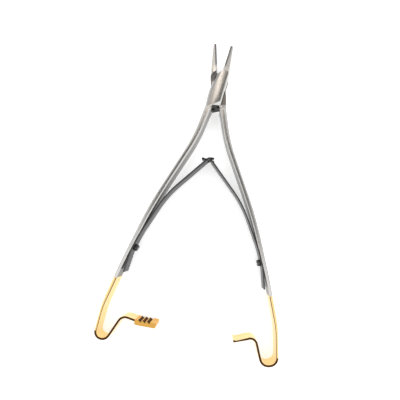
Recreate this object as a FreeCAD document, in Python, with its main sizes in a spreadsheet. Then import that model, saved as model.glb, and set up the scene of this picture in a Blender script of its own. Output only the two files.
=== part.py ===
import FreeCAD, Part
import os
from math import atan, atan2, cos, degrees, hypot, pi, radians, sin, tan

import Sketcher
from FreeCAD import Placement, Rotation, Vector

# Plier-type surgical needle holder, open as its springs hold it. Two forged halves cross in a
# box lock. Each half runs from a jaw through the lock into a long springy arm, whose end is a
# flat strap bent into a hook. One strap ends in a toothed bar, the other in a small catch.
# The origin is on the pivot, in the plane that the instrument lies on. +Y points at the jaws,
# +Z at the viewer. Each half is drawn closed, in its own frame, and then turned open.
# Lengths are millimetres, angles degrees. "Across" is measured from the centre line,
# "up" from the pivot towards the jaws and "down" from the pivot towards the handles.

SIZES = (
    ("thick", 9.0, "depth of both halves, front to back"),
    ("spread_angle", 8.4, "angle that each half stands open"),
    ("spare", 1.0, "how far a cut reaches past the solid"),
    ("jaw_gap", 0.1, "gap between the gripping faces when closed"),
    # Jaws
    ("jaw_base", 12.3, "up: where the lock ends and the jaw begins"),
    ("jaw_base_wide", 4.25, "across: outside of the jaw at its base"),
    ("jaw_waist", 17.0, "up: where the jaw starts its long taper"),
    ("jaw_waist_wide", 3.75, "across: outside of the jaw there"),
    ("jaw_shoulder", 29.3, "up: where the nose begins"),
    ("jaw_shoulder_wide", 2.05, "across: outside of the jaw there"),
    ("jaw_shoulder_thick", 4.0, "depth of the jaw there"),
    ("jaw_tip", 30.5, "up: end of the nose"),
    ("jaw_tip_wide", 1.4, "across: outside of the nose"),
    ("jaw_tip_thick", 3.0, "depth of the nose"),
    ("jaw_bevel", 0.95, "bevel along the back of the jaw, at its base"),
    ("nose_bevel", 0.35, "the same bevel at the nose"),
    ("insert_heel", 15.5, "up: lower end of the carbide insert"),
    ("insert_thick", 1.0, "thickness of the carbide insert"),
    # Box lock
    ("cheek_corner_out", 3.7, "across: upper corner of the cheek"),
    ("cheek_corner_up", 9.3, "up: upper corner of the cheek"),
    ("lock_out", 5.3, "across: widest place of the lock, on the arm's side"),
    ("lock_out_down", 1.0, "down: that place"),
    ("lock_round", 40.0, "radius of the lock's side there"),
    ("crotch_out", 4.0, "across: lower corner of the lock, on the jaw's side"),
    ("crotch_down", 8.2, "down: that corner"),
    ("crotch_end_down", 9.8, "down: where the lower edge meets the arm"),
    ("lock_bevel", 0.95, "bevel along the lock, on the jaw's side"),
    ("lock_outer_bevel", 1.6, "bevel along the lock, on the arm's side"),
    ("crown_r", 32.0, "radius to which both cheeks are crowned"),
    ("facet_in", 0.6, "across: where the facet over the crotch begins"),
    ("facet_long", 4.8, "length of the facet at its wide end"),
    ("facet_deep", 1.9, "depth of the facet there"),
    ("web", 2.9, "thickness of the web that passes through the slot"),
    ("slot_clear", 0.05, "clearance on each face of the web"),
    ("shoulder_clear", 0.12, "clearance between the shoulders of the two halves"),
    ("pin_r", 1.6, "radius of the pivot pin"),
    ("pin_clear", 0.03, "running clearance of the pin in the web"),
    # Arms: outside across and width at each station down the arm
    ("arm0_down", 11.0, "station at the lock"),
    ("arm0_out", 4.95, ""),
    ("arm0_wide", 4.2, ""),
    ("arm1_down", 20.0, ""),
    ("arm1_out", 5.9, ""),
    ("arm1_wide", 3.95, ""),
    ("arm2_down", 33.0, ""),
    ("arm2_out", 7.95, ""),
    ("arm2_wide", 3.6, ""),
    ("arm3_down", 47.0, ""),
    ("arm3_out", 12.0, ""),
    ("arm3_wide", 3.35, ""),
    ("arm4_down", 61.0, ""),
    ("arm4_out", 16.45, ""),
    ("arm4_wide", 3.25, ""),
    ("arm5_down", 75.0, ""),
    ("arm5_out", 20.55, ""),
    ("arm5_wide", 3.15, ""),
    ("arm6_down", 88.0, ""),
    ("arm6_out", 23.65, ""),
    ("arm6_wide", 2.85, ""),
    ("arm7_down", 102.0, ""),
    ("arm7_out", 26.35, ""),
    ("arm7_wide", 2.4, ""),
    ("arm8_down", 115.0, ""),
    ("arm8_out", 28.85, ""),
    ("arm8_wide", 2.1, ""),
    ("arm9_down", 129.0, ""),
    ("arm9_out", 31.05, ""),
    ("arm9_wide", 1.95, ""),
    ("arm10_down", 142.0, ""),
    ("arm10_out", 32.95, ""),
    ("arm10_wide", 1.65, ""),
    ("arm11_down", 150.0, "station where the strap begins"),
    ("arm11_out", 33.4, ""),
    ("strap_thick", 1.3, "thickness of the strap"),
    ("outer_bevel", 1.6, "bevel along the outside of the arm, at the lock"),
    ("inner_bevel", 1.0, "bevel along the inside of the arm, at the lock"),
    ("strap_bevel", 0.3, "bevel of the strap's edges"),
    # Hook of the left handle, which carries the toothed bar
    ("left_floor", 165.7, "down: bottom of the left hook"),
    ("left_back", 25.3, "across: where its return leg would meet the bottom"),
    ("left_bend", 4.2, "bend radius at the bottom"),
    ("left_top_out", 19.5, "across: top of the return leg"),
    ("left_top_down", 148.6, "down: top of the return leg"),
    ("left_top_bend", 4.6, "bend radius there"),
    ("bar_out", 11.2, "across: outer end of the toothed bar"),
    ("bar_down", 148.7, "down: upper edge of the bar at its outer end"),
    ("bar_tilt", 4.8, "angle at which the bar rises towards the centre line"),
    ("bar_long", 13.2, "length of the bar"),
    ("bar_wide", 3.2, "height of the bar"),
    ("bar_round", 1.0, "radius of its lower corners"),
    ("bar_root", 0.4, "how far the strap runs into the bar"),
    ("tooth_first", 3.8, "root of the first gullet, from the bar's outer end"),
    ("tooth_pitch", 2.7, "distance from tooth to tooth"),
    ("tooth_count", 3, "number of gullets"),
    ("tooth_deep", 1.15, "depth of a gullet"),
    ("tooth_slope", 1.85, "length of its sloping flank"),
    ("tooth_undercut", 0.3, "lean of its steep flank"),
    # Hook of the right handle, which carries the catch
    ("right_floor", 169.6, "down: bottom of the right hook"),
    ("right_back", 23.1, "across: where its return leg would meet the bottom"),
    ("right_bend", 4.9, "bend radius at the bottom"),
    ("right_top_out", 19.55, "across: top of the return leg"),
    ("right_top_down", 151.7, "down: top of the return leg"),
    ("right_top_bend", 4.2, "bend radius there"),
    ("catch_tilt", 10.2, "angle at which the catch strip falls towards the centre line"),
    ("catch_long", 9.6, "length of the thinned strip"),
    ("catch_thick", 0.8, "thickness of the strip at the tip"),
    ("catch_hook", 0.85, "height of the catch above the strip"),
    ("catch_base", 2.0, "length of the catch"),
    ("catch_fillet", 0.6, "radius in front of the catch"),
    ("catch_round", 0.25, "radius of its edges"),
    # Leaf springs
    ("seat_down", 106.3, "down: screw of the leaf spring"),
    ("seat_deep", 0.12, "depth of the flat seat in the arm's inner face"),
    ("seat_above", 9.0, "length of the flat seat above the screw"),
    ("seat_below", 7.0, "length of the flat seat below the screw"),
    ("spring_wide", 7.6, "width of the leaf springs"),
    ("spring_thick", 0.75, "thickness of the leaf springs"),
    ("spring_seat_gap", 0.02, "film between the spring's foot and its seat"),
    ("foot_long", 9.3, "foot of the spring, from the screw to its first bend"),
    ("foot_angle", 5.9, "angle of the first bend"),
    ("foot_bend", 80.0, "radius of the first bend"),
    ("leaf_long", 28.8, "from the first bend to the second"),
    ("leaf_angle", 16.0, "angle of the second bend"),
    ("leaf_bend", 70.0, "radius of the second bend"),
    ("neck_long", 34.7, "from the second bend to the curl at the tip"),
    ("tip_angle", 48.5, "angle of the curl"),
    ("tip_bend", 1.9, "radius of the curl"),
    ("fork_tip_long", 3.4, "end of the prongs beyond the curl"),
    ("tongue_tip_long", 4.4, "end of the tongue beyond the curl"),
    ("tail_near", 3.5, "from the screw to where the tail leaves the arm"),
    ("tail_end", 16.3, "from the screw to the tail's end"),
    ("tail_end_rise", 2.1, "how far the tail's end stands off the seat"),
    ("tail_bend", 15.0, "radius of the tail's bend"),
    ("fork_gap", 3.2, "gap between the two prongs of the forked spring"),
    ("tongue_wide", 2.4, "width of the tongue of the other spring"),
    ("prong_long", 1.2, "how far the prongs and the tongue reach down the neck"),
    ("knob_r", 0.75, "radius of the rolled end of the tongue"),
    # Screws of the springs
    ("screw_r", 1.0, "radius of the screw's shank"),
    ("hole_clear", 0.08, "clearance of the hole in the spring"),
    ("head_r", 2.1, "radius of the screw's head"),
    ("head_high", 2.1, "height of the head"),
    ("head_edge", 1.6, "height of the head's straight side"),
    ("slot_wide", 0.55, "width of the driver slot"),
    ("slot_deep", 0.8, "depth of the driver slot"),
    ("shank_long", 2.3, "length of the shank in the arm"),
)

ARM_STATIONS = 12


class Size:
    """A size: its number, and the expression that takes it from the sheet."""

    def __init__(self, number, text):
        self.number = float(number)
        self.text = text

    def __add__(self, other):
        other = as_size(other)
        return Size(self.number + other.number, "(%s + %s)" % (self.text, other.text))

    def __sub__(self, other):
        other = as_size(other)
        return Size(self.number - other.number, "(%s - %s)" % (self.text, other.text))

    def __mul__(self, other):
        other = as_size(other)
        return Size(self.number * other.number, "(%s * %s)" % (self.text, other.text))

    def __truediv__(self, other):
        other = as_size(other)
        return Size(self.number / other.number, "(%s / %s)" % (self.text, other.text))

    def __neg__(self):
        return Size(-self.number, "(0 - %s)" % self.text)

    __radd__ = __add__
    __rmul__ = __mul__

    def __rsub__(self, other):
        return as_size(other) - self


def as_size(value):
    """Give a plain number the same form as a named size."""
    if isinstance(value, Size):
        return value
    return Size(value, "%.6f" % value)


def named(name):
    """The size with this name in the sheet."""
    return Size(NUMBERS[name], "Sizes." + name)


def cosine(angle):
    return Size(cos(radians(angle.number)), "cos(%s)" % angle.text)


def sine(angle):
    return Size(sin(radians(angle.number)), "sin(%s)" % angle.text)


def angle_of(slope):
    """The angle with this tangent."""
    return Size(degrees(atan(slope.number)), "(atan(%s) / 1 deg)" % slope.text)


def length_of(across, along):
    """Length of the line from the origin to a point."""
    text = "sqrt(%s * %s + %s * %s)" % (across.text, across.text, along.text, along.text)
    return Size(hypot(across.number, along.number), text)


def between(start, end, share):
    """The size that lies at this share of the way from start to end."""
    return start + (end - start) * share


def turned(across, along, angle):
    """A point turned about the pivot, counter-clockwise for a positive angle."""
    return (
        across * cosine(angle) - along * sine(angle),
        across * sine(angle) + along * cosine(angle),
    )


NUMBERS = {name: number for name, number, meaning in SIZES}


def make_sheet(doc):
    """Write every driving size into the document's sheet."""
    sheet = doc.addObject("Spreadsheet::Sheet", "Sizes")
    for row, (name, number, meaning) in enumerate(SIZES, start=1):
        sheet.set("A%d" % row, name)
        sheet.set("B%d" % row, repr(number))
        sheet.setAlias("B%d" % row, name)
        sheet.set("C%d" % row, meaning)
    doc.recompute()


class Runs:
    """Straight runs with rounded corners between them, as numbers for a sketch."""

    def __init__(self, corners, closed):
        self.spots = [Vector(x.number, y.number, 0) for x, y, r in corners]
        self.radii = [r.number for x, y, r in corners]
        self.closed = closed
        self.count = len(corners)
        self.entry = list(self.spots)
        self.exit = list(self.spots)
        self.centre = [None] * self.count
        self.left = [True] * self.count
        for index in range(self.count):
            if self.radii[index] > 0:
                self.round_corner(index)

    def round_corner(self, index):
        """Work out where the arc of one corner starts, ends and has its centre."""
        spot = self.spots[index]
        before = spot - self.spots[index - 1]
        after = self.spots[(index + 1) % self.count] - spot
        before.normalize()
        after.normalize()
        cross = before.x * after.y - before.y * after.x
        turn = abs(atan2(cross, before.dot(after)))
        reach = self.radii[index] * tan(turn / 2)
        self.left[index] = cross > 0
        self.entry[index] = spot - before * reach
        self.exit[index] = spot + after * reach
        side = 1 if cross > 0 else -1
        inward = Vector(-before.y * side, before.x * side, 0)
        self.centre[index] = self.entry[index] + inward * self.radii[index]

    def lines(self):
        """The straight runs, in order."""
        last = self.count if self.closed else self.count - 1
        return [
            Part.LineSegment(self.exit[index], self.entry[(index + 1) % self.count])
            for index in range(last)
        ]

    def arc(self, index):
        """The arc of one rounded corner, counter-clockwise."""
        centre = self.centre[index]
        first = self.entry[index] - centre
        second = self.exit[index] - centre
        if not self.left[index]:
            first, second = second, first
        start = atan2(first.y, first.x)
        end = atan2(second.y, second.x)
        if end < start:
            end += 2 * pi
        circle = Part.Circle(centre, Vector(0, 0, 1), self.radii[index])
        return Part.ArcOfCircle(circle, start, end)


def draw(sketch, corners, closed=True):
    """Draw runs through the corners (across, along, radius) and bind them to the sheet."""
    corners = [tuple(as_size(value) for value in corner) for corner in corners]
    runs = Runs(corners, closed)
    lines = runs.lines()
    sketch.addGeometry(lines, False)
    rules = []
    bound = []

    def bind(kind, target, place, size):
        rule = [kind, target, size.number]
        if kind != "Radius":
            rule = [kind, -1, 1, target, place, size.number]
        bound.append((len(rules), size.text))
        rules.append(Sketcher.Constraint(*rule))

    for index, (x, y, r) in enumerate(corners):
        before = (index - 1) % len(lines)
        after = index
        joined = closed or 0 < index < runs.count - 1
        if not joined:
            line, end = (0, 1) if index == 0 else (len(lines) - 1, 2)
            bind("DistanceX", line, end, x)
            bind("DistanceY", line, end, y)
        elif runs.radii[index] > 0:
            arc = sketch.addGeometry(runs.arc(index), False)
            spot = sketch.addGeometry(Part.Point(runs.spots[index]), True)
            start, end = (1, 2) if runs.left[index] else (2, 1)
            rules.append(Sketcher.Constraint("Tangent", before, 2, arc, start))
            rules.append(Sketcher.Constraint("Tangent", arc, end, after, 1))
            rules.append(Sketcher.Constraint("PointOnObject", spot, 1, before))
            rules.append(Sketcher.Constraint("PointOnObject", spot, 1, after))
            bind("DistanceX", spot, 1, x)
            bind("DistanceY", spot, 1, y)
            bind("Radius", arc, 0, r)
        else:
            rules.append(Sketcher.Constraint("Coincident", before, 2, after, 1))
            bind("DistanceX", after, 1, x)
            bind("DistanceY", after, 1, y)
    sketch.addConstraint(rules)
    for number, text in bound:
        sketch.setExpression("Constraints[%d]" % number, text)
    return sketch


class Piece:
    """One separate part of the instrument, built up as a body."""

    def __init__(self, doc, label):
        self.doc = doc
        self.body = doc.addObject("PartDesign::Body", label)
        self.body.Label = label
        self.planes = {item.Role: item for item in self.body.Origin.OriginFeatures}

    def add(self, kind, name):
        return self.body.newObject(kind, self.body.Name + "_" + name)

    def sketch(self, name, plane, offset=0, across=0, along=0, turn=0):
        """A sketch on one of the body's planes, moved out, over and turned."""
        sketch = self.add("Sketcher::SketchObject", name)
        sketch.AttachmentSupport = [(self.planes[plane], "")]
        sketch.MapMode = "FlatFace"
        offset = as_size(offset)
        across = as_size(across)
        along = as_size(along)
        turn = as_size(turn)
        base = Vector(across.number, along.number, offset.number)
        sketch.AttachmentOffset = Placement(base, Rotation(Vector(0, 0, 1), turn.number))
        sketch.setExpression("AttachmentOffset.Base.x", across.text)
        sketch.setExpression("AttachmentOffset.Base.y", along.text)
        sketch.setExpression("AttachmentOffset.Base.z", offset.text)
        sketch.setExpression("AttachmentOffset.Rotation.Angle", turn.text)
        return sketch

    def pad(self, name, sketch, height):
        pad = self.add("PartDesign::Pad", name)
        pad.Profile = sketch
        pad.setExpression("Length", as_size(height).text)
        self.doc.recompute()
        return pad

    def cut(self, name, sketch, depth):
        """Cut along the sketch's own normal, and make sure that something went."""
        before = self.body.Shape.Volume
        pocket = self.add("PartDesign::Pocket", name)
        pocket.Profile = sketch
        pocket.Reversed = True
        pocket.setExpression("Length", as_size(depth).text)
        self.doc.recompute()
        if not self.body.Shape.Volume < before:
            raise RuntimeError(pocket.Name + " cuts nothing")
        return pocket

    def loft(self, name, sections, ruled, away=False):
        loft = self.add("PartDesign::SubtractiveLoft" if away else "PartDesign::AdditiveLoft", name)
        loft.Profile = sections[0]
        loft.Sections = [(section, [""]) for section in sections[1:]]
        loft.Ruled = ruled
        self.doc.recompute()
        return loft

    def sweep(self, name, profile, path):
        pipe = self.add("PartDesign::AdditivePipe", name)
        pipe.Profile = profile
        count = sum(1 for index in range(path.GeometryCount) if not path.getConstruction(index))
        pipe.Spine = (path, ["Edge%d" % number for number in range(1, count + 1)])
        self.doc.recompute()
        return pipe

    def revolve(self, name, sketch, axis):
        turn = self.add("PartDesign::Revolution", name)
        turn.Profile = sketch
        turn.ReferenceAxis = (sketch, [axis])
        turn.Angle = 360
        self.doc.recompute()
        return turn

    def drill(self, name, sketch, radius, low, high):
        """Round hole about the sketch's upright axis, from low to high."""
        draw(sketch, [(0, low, 0), (radius, low, 0), (radius, high, 0), (0, high, 0)])
        self.turn_away(name, sketch)

    def turn_away(self, name, sketch):
        """Cut what the sketch sweeps round its upright axis."""
        before = self.body.Shape.Volume
        groove = self.add("PartDesign::Groove", name)
        groove.Profile = sketch
        groove.ReferenceAxis = (sketch, ["V_Axis"])
        groove.Angle = 360
        self.doc.recompute()
        if not self.body.Shape.Volume < before:
            raise RuntimeError(groove.Name + " cuts nothing")

    def bevel(self, name, size, chosen):
        """Chamfer the edges that the test picks from the body as it stands."""
        base = self.body.Tip
        picked = [
            "Edge%d" % number
            for number, edge in enumerate(base.Shape.Edges, start=1)
            if chosen(edge)
        ]
        if not picked:
            raise RuntimeError(name + " finds no edge")
        chamfer = self.add("PartDesign::Chamfer", name)
        chamfer.Base = (base, picked)
        chamfer.setExpression("Size", as_size(size).text)
        self.doc.recompute()
        return chamfer

    def place(self, across, along, up, turn):
        """Put the finished body in its place in the open instrument."""
        spots = {"x": as_size(across), "y": as_size(along), "z": as_size(up)}
        base = Vector(spots["x"].number, spots["y"].number, spots["z"].number)
        turn = as_size(turn)
        self.body.Placement = Placement(base, Rotation(Vector(0, 0, 1), turn.number))
        for letter, size in spots.items():
            self.body.setExpression("Placement.Base." + letter, size.text)
        self.body.setExpression("Placement.Rotation.Angle", turn.text)


def bevelled_section(piece, name, offset, inner, outer, low, high, inner_bevel, outer_bevel, side):
    """A cross-section with bevelled edges, in a plane square to the instrument's length."""
    corners = [
        (inner + inner_bevel, low),
        (outer - outer_bevel, low),
        (outer, low + outer_bevel),
        (outer, high - outer_bevel),
        (outer - outer_bevel, high),
        (inner + inner_bevel, high),
        (inner, high - inner_bevel),
        (inner, low + inner_bevel),
    ]
    sketch = piece.sketch(name, "XZ_Plane", offset=offset)
    return draw(sketch, [(across * side, depth, 0) for across, depth in corners])


def jaw_depth(up):
    """Lower and upper face of a jaw at this distance up from the pivot."""
    full = named("thick")
    share = (up - named("jaw_base")) / (named("jaw_shoulder") - named("jaw_base"))
    thick = between(full, named("jaw_shoulder_thick"), share)
    return (full - thick) / 2, (full + thick) / 2


def jaw_places():
    """Stations of a jaw: up, outside across, lower face, upper face, bevel."""
    waist = named("jaw_waist")
    shoulder = named("jaw_shoulder")
    share = (waist - named("jaw_base")) / (shoulder - named("jaw_base"))
    nose = named("jaw_tip_thick")
    full = named("thick")
    waist_bevel = between(named("jaw_bevel"), named("nose_bevel"), share)
    return (
        (named("jaw_base"), named("jaw_base_wide"), 0, full, named("jaw_bevel")),
        (waist, named("jaw_waist_wide")) + jaw_depth(waist) + (waist_bevel,),
        (shoulder, named("jaw_shoulder_wide")) + jaw_depth(shoulder) + (named("nose_bevel"),),
        (
            named("jaw_tip"),
            named("jaw_tip_wide"),
            (full - nose) / 2,
            (full + nose) / 2,
            named("nose_bevel"),
        ),
    )


def add_jaw(piece, side):
    """Tapered jaw, on the other side of the centre line from its arm."""
    grip = named("jaw_gap") / 2
    edge = as_size(0.1)
    sections = [
        bevelled_section(piece, "JawSection%d" % number, -up, grip, outer, low, high, edge,
                         bevel, -side)
        for number, (up, outer, low, high, bevel) in enumerate(jaw_places())
    ]
    piece.loft("Jaw", sections, ruled=True)
    seat = grip + named("insert_thick")
    heel = named("insert_heel")
    end = named("jaw_tip") + named("spare")
    sketch = piece.sketch("InsertSeatPlan", "XY_Plane", offset=-named("spare"))
    draw(sketch, [
        (-side * seat, heel, 0),
        (-side * seat, end, 0),
        (side * seat, end, 0),
        (side * seat, heel, 0),
    ])
    piece.cut("InsertSeat", sketch, named("thick") + 2 * named("spare"))


def add_lock(piece, side):
    """The block around the pivot, from the jaw's base to the arm's root."""
    grip = named("jaw_gap") / 2
    root = named("arm0_down")
    outside = named("arm0_out")
    inside = outside - named("arm0_wide")
    sketch = piece.sketch("LockPlan", "XY_Plane")
    draw(sketch, [
        (-side * grip, named("jaw_base"), 0),
        (-side * named("jaw_base_wide"), named("jaw_base"), 0),
        (-side * named("crotch_out"), -named("crotch_down"), 0),
        (side * inside, -named("crotch_end_down"), 0),
        (side * inside, -root, 0),
        (side * outside, -root, 0),
        (side * named("lock_out"), -named("lock_out_down"), named("lock_round")),
        (side * named("cheek_corner_out"), named("cheek_corner_up"), 0),
    ])
    piece.pad("Lock", sketch, named("thick"))
    depth = NUMBERS["thick"]
    inner = inside.number

    def is_side(edge):
        box = edge.BoundBox
        flat = box.ZLength < 1e-6 and min(abs(box.ZMin), abs(box.ZMin - depth)) < 1e-6
        steep = box.YLength > 2 * box.XLength
        return flat and steep and abs(edge.CenterOfMass.x) > inner + 1

    def is_outer(edge):
        return is_side(edge) and side * edge.CenterOfMass.x > 0

    piece.bevel("LockOuterBevel", named("lock_outer_bevel"), is_outer)
    piece.bevel("LockBevel", named("lock_bevel"), is_side)


def crown_cheeks(piece):
    """Crown both cheeks about lines along the lock, and break the corner over the crotch."""
    thick = named("thick")
    radius = named("crown_r")
    for name, axis_up in (("Front", thick - radius), ("Back", radius)):
        sketch = piece.sketch(name + "CrownPlan", "XY_Plane", offset=axis_up)
        low = -named("crotch_end_down")
        high = named("jaw_base")
        draw(sketch, [
            (radius, low, 0),
            (radius + named("spare"), low, 0),
            (radius + named("spare"), high, 0),
            (radius, high, 0),
        ])
        piece.turn_away(name + "Crown", sketch)


def facet_crotch(piece, side):
    """Slanting facet over the crotch, front and back, that widens towards the jaw's side."""
    thick = named("thick")
    low = -named("crotch_end_down")
    out = named("crotch_out") + named("spare")
    share = (out + named("facet_in")) / (named("crotch_out") + named("facet_in"))
    for name, face, inward in (("Front", thick, -1), ("Back", as_size(0), 1)):
        sections = []
        for number, (across, size) in enumerate(((-named("facet_in"), as_size(0.02)),
                                                 (out, share))):
            sketch = piece.sketch("%sFacet%d" % (name, number), "YZ_Plane",
                                  offset=-side * across)
            spare = named("spare")
            draw(sketch, [
                (low - spare, face - inward * spare, 0),
                (low + named("facet_long") * size, face - inward * spare, 0),
                (low + named("facet_long") * size, face, 0),
                (low, face + inward * named("facet_deep") * size, 0),
                (low - spare, face + inward * named("facet_deep") * size, 0),
            ])
            sections.append(sketch)
        piece.loft(name + "Facet", sections, ruled=True, away=True)


def add_arm(piece, side):
    """Long arm, lofted through its stations, thinning into the strap."""
    first = named("arm0_down")
    last = named("arm%d_down" % (ARM_STATIONS - 1))
    sections = []
    for number in range(ARM_STATIONS):
        down = named("arm%d_down" % number)
        outer = named("arm%d_out" % number)
        is_last = number == ARM_STATIONS - 1
        wide = named("strap_thick") if is_last else named("arm%d_wide" % number)
        share = (down - first) / (last - first)
        outer_bevel = between(named("outer_bevel"), named("strap_bevel"), share)
        inner_bevel = between(named("inner_bevel"), named("strap_bevel"), share)
        sections.append(bevelled_section(
            piece, "ArmSection%d" % number, down, outer - wide, outer, as_size(0),
            named("thick"), inner_bevel, outer_bevel, side))
    piece.loft("Arm", sections, ruled=False)


def add_strap(piece, side, hand, end):
    """Flat strap, from the arm's end round the hook to the given end."""
    outer = named("arm%d_out" % (ARM_STATIONS - 1))
    down = named("arm%d_down" % (ARM_STATIONS - 1))
    thick = named("strap_thick")
    centre = outer - thick / 2
    bevel = named("strap_bevel")
    profile = bevelled_section(piece, "StrapSection", down, outer - thick, outer, as_size(0),
                               named("thick"), bevel, bevel, side)
    path = piece.sketch("StrapPath", "XY_Plane")
    bend = named(hand + "_bend")
    floor = -named(hand + "_floor")
    draw(path, [
        (side * centre, -down, 0),
        (side * centre, floor, bend),
        (side * named(hand + "_back"), floor, bend),
        (side * named(hand + "_top_out"), -named(hand + "_top_down"), named(hand + "_top_bend")),
        (side * end[0], end[1], 0),
    ], closed=False)
    piece.sweep("Strap", profile, path)


def add_bar(piece):
    """Toothed bar at the end of the left strap, its gullets open towards the jaws."""
    sketch = piece.sketch("BarPlan", "XY_Plane", across=-named("bar_out"),
                          along=-named("bar_down"), turn=named("bar_tilt"))
    long = named("bar_long")
    wide = named("bar_wide")
    corners = [(0, -wide, named("bar_round")), (long, -wide, named("bar_round"))]
    corners.append((long, 0, named("bar_round") / 2))
    for number in reversed(range(int(NUMBERS["tooth_count"]))):
        root = named("tooth_first") + named("tooth_pitch") * number
        corners.append((root + named("tooth_undercut"), 0, 0))
        corners.append((root, -named("tooth_deep"), 0))
        corners.append((root - named("tooth_slope"), 0, 0))
    corners.append((0, 0, 0))
    draw(sketch, corners)
    piece.pad("Bar", sketch, named("thick"))


def catch_root():
    """Where the thinned strip of the catch begins, on the strap's centre line."""
    top = (named("right_top_out"), -named("right_top_down"))
    tilt = named("catch_tilt")
    lead = named("right_top_bend")
    return top[0] - lead * cosine(tilt), top[1] - lead * sine(tilt)


def add_catch(piece):
    """Thinned end of the right strap, with the small catch turned up at its tip."""
    across, along = catch_root()
    sketch = piece.sketch("CatchPlan", "XY_Plane", across=across, along=along,
                          turn=named("catch_tilt"))
    half = named("strap_thick") / 2
    tip = -named("catch_long")
    thin = named("catch_thick") / 2
    base = named("catch_base")
    draw(sketch, [
        (0, -half, 0),
        (0, half, 0),
        (tip + base, thin, named("catch_fillet")),
        (tip, thin + named("catch_hook"), named("catch_round")),
        (tip, -thin, named("catch_round")),
    ])
    piece.pad("Catch", sketch, named("thick"))


def shoulder_plan(piece, name, offset, side):
    """Area that the other half sweeps: under its shoulder line and inside the sweep circle."""
    clear = named("shoulder_clear")
    corner = named("cheek_corner_out")
    fall = (named("jaw_base") - named("cheek_corner_up")) / corner
    top = named("jaw_base") + clear * length_of(fall, as_size(1))
    inside = named("arm0_out") - named("arm0_wide")
    radius = length_of(inside, named("crotch_end_down")) + clear
    # The corner under the pivot is square, so that its arc is centred on the pivot.
    lowest = radius / cosine(as_size(45))
    wide = named("lock_out") + named("cheek_corner_out")
    sketch = piece.sketch(name, "XY_Plane", offset=offset)
    return draw(sketch, [
        (-side * wide, wide - lowest, 0),
        (-side * wide, top - fall * wide, 0),
        (0, top, 0),
        (side * wide, top + wide, 0),
        (side * wide, wide - lowest, 0),
        (0, -lowest, radius),
    ])


def seat_spot():
    """Seat of the leaf spring in the arm's inner face: across, and its angle when closed."""
    down = NUMBERS["seat_down"]
    upper = max(n for n in range(ARM_STATIONS - 2) if NUMBERS["arm%d_down" % n] <= down)
    first = "arm%d_" % upper
    second = "arm%d_" % (upper + 1)
    inside = named(first + "out") - named(first + "wide")
    growth = named(second + "out") - named(second + "wide") - inside
    slope = growth / (named(second + "down") - named(first + "down"))
    across = inside + slope * (named("seat_down") - named(first + "down"))
    return across + named("seat_deep"), angle_of(slope)


def add_seat(piece, side):
    """Flat seat of the leaf spring on the arm's inner face, and the screw's hole."""
    out, lean = seat_spot()
    spot = {"across": out * side, "along": -named("seat_down")}
    sketch = piece.sketch("SeatPlan", "XY_Plane", offset=-named("spare"), turn=lean * side,
                          **spot)
    draw(sketch, [
        (0, -named("seat_below"), 0),
        (0, named("seat_above"), 0),
        (-side * named("head_r"), named("seat_above"), 0),
        (-side * named("head_r"), -named("seat_below"), 0),
    ])
    piece.cut("Seat", sketch, named("thick") + 2 * named("spare"))
    sketch = piece.sketch("ScrewHolePlan", "XY_Plane", offset=named("thick") / 2,
                          turn=lean * side + 90, **spot)
    reach = named("head_r") + named("shank_long")
    piece.drill("ScrewHole", sketch, named("screw_r"), -reach, reach)


def make_half(doc, label, side, hand):
    """One forged half. Its arm lies on the given side of the centre line, its jaw across."""
    piece = Piece(doc, label)
    add_lock(piece, side)
    if hand == "left":
        crown_cheeks(piece)
        facet_crotch(piece, side)
    add_jaw(piece, side)
    add_arm(piece, side)
    if hand == "left":
        end = (
            named("bar_out") - named("bar_root"),
            -named("bar_down") - named("strap_thick") / 2,
        )
        add_strap(piece, side, hand, end)
        add_bar(piece)
    else:
        add_strap(piece, side, hand, catch_root())
        add_catch(piece)
    web_low = (named("thick") - named("web")) / 2
    web_high = (named("thick") + named("web")) / 2
    gap = named("slot_clear")
    if hand == "left":
        plan = shoulder_plan(piece, "SlotPlan", web_low - gap, side)
        piece.cut("Slot", plan, named("web") + gap * 2)
        hole_r = named("pin_r")
    else:
        plan = shoulder_plan(piece, "BackRecessPlan", -named("spare"), side)
        piece.cut("BackRecess", plan, web_low + named("spare"))
        plan = shoulder_plan(piece, "FrontRecessPlan", web_high, side)
        piece.cut("FrontRecess", plan, web_low + named("spare"))
        hole_r = named("pin_r") + named("pin_clear")
    sketch = piece.sketch("PinHolePlan", "XZ_Plane")
    piece.drill("PinHole", sketch, hole_r, -named("spare"), named("thick") + named("spare"))
    add_seat(piece, side)
    piece.place(0, 0, 0, named("spread_angle") * side)
    return piece


def make_pin(doc):
    """Pivot pin, riveted flush in the cheeks."""
    pin = doc.addObject("Part::Cylinder", "pivot_pin")
    pin.Label = "pivot_pin"
    pin.setExpression("Radius", "Sizes.pin_r")
    pin.setExpression("Height", "Sizes.thick")


def make_insert(doc, label, side):
    """Carbide plate in the jaw of the half whose arm is on the given side."""
    piece = Piece(doc, label)
    grip = named("jaw_gap") / 2
    back = grip + named("insert_thick")
    heel = named("insert_heel")
    shoulder = named("jaw_shoulder")
    full = named("thick")
    nose = named("jaw_tip_thick")
    places = (
        (heel, jaw_depth(heel)),
        (shoulder, jaw_depth(shoulder)),
        (named("jaw_tip"), ((full - nose) / 2, (full + nose) / 2)),
    )
    sections = []
    for number, (up, (low, high)) in enumerate(places):
        sketch = piece.sketch("InsertSection%d" % number, "XZ_Plane", offset=-up)
        corners = [(grip, low), (back, low), (back, high), (grip, high)]
        draw(sketch, [(-side * across, depth, 0) for across, depth in corners])
        sections.append(sketch)
    piece.loft("Plate", sections, ruled=True)
    piece.place(0, 0, 0, named("spread_angle") * side)


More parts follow.
